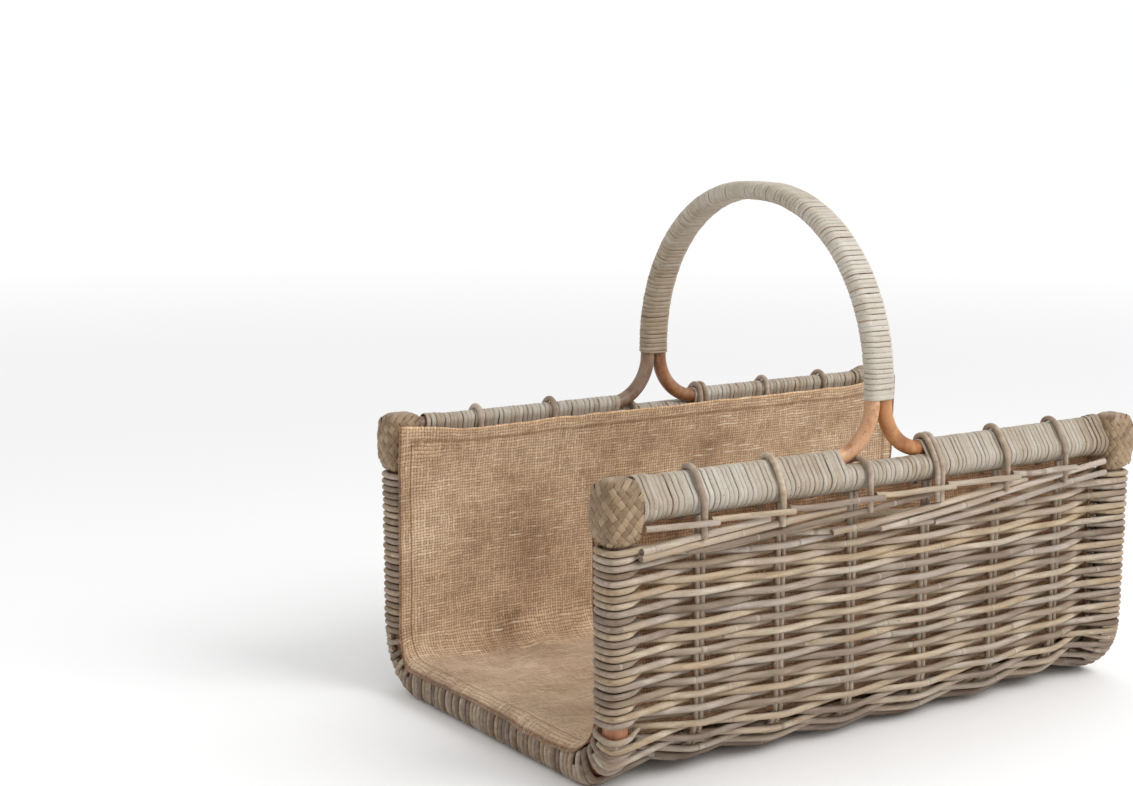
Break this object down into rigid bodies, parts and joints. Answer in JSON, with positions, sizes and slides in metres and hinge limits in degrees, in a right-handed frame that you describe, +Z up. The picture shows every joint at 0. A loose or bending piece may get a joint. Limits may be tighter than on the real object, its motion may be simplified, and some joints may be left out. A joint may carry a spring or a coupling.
{
  "type": "wicker log basket",
  "caption": "Open-ended wicker trough with a U-bent woven body, bound rims and a tall arched handle, lined with hessian, for carrying and storing firewood.",
  "frame": {"origin": "on the ground under the middle of the basket", "axes": "+X along the basket from one open end to the other, +Y towards the back wall, +Z up"},
  "size_m": [0.562, 0.3674, 0.4406],
  "materials": {
    "bare_rattan": "satin bare rattan pole",
    "weathered_rattan": "matt grey-washed rattan rod",
    "stake_rattan": "matt rattan rod",
    "peel": "satin grey-washed rattan peel",
    "hessian": "coarse plain-woven jute",
    "twine": "jute twine",
    "nail_steel": "plain steel"
  },
  "bodies": {
    "root": {"bend_wefts_back": "weathered_rattan", "bend_wefts_front": "weathered_rattan", "border_runners_back": "weathered_rattan", "border_runners_front": "weathered_rattan", "corner_braid_back_left": "peel", "corner_braid_back_right": "peel", "corner_braid_front_left": "peel", "corner_braid_front_right": "peel", "corner_nails": "nail_steel", "end_hoop_left": "bare_rattan", "end_hoop_right": "bare_rattan", "filler_rods_back": "weathered_rattan", "filler_rods_front": "weathered_rattan", "floor_wefts_back": "weathered_rattan", "floor_wefts_front": "weathered_rattan", "handle_binding": "peel", "handle_nails": "nail_steel", "handle_pole_left": "bare_rattan", "handle_pole_right": "bare_rattan", "hessian_liner": "hessian", "liner_stitches": "twine", "rim_binding_back_left": "peel", "rim_binding_back_middle": "peel", "rim_binding_back_right": "peel", "rim_binding_front_left": "peel", "rim_binding_front_middle": "peel", "rim_binding_front_right": "peel", "rim_loops_back": "weathered_rattan", "rim_loops_front": "weathered_rattan", "rim_pole_back": "bare_rattan", "rim_pole_front": "bare_rattan", "stake_pair_1": "stake_rattan", "stake_pair_2": "stake_rattan", "stake_pair_3": "stake_rattan", "stake_pair_4": "stake_rattan", "stake_pair_5": "stake_rattan", "stake_pair_6": "stake_rattan", "wall_wefts_back": "weathered_rattan", "wall_wefts_front": "weathered_rattan"}
  },
  "joints": []
}
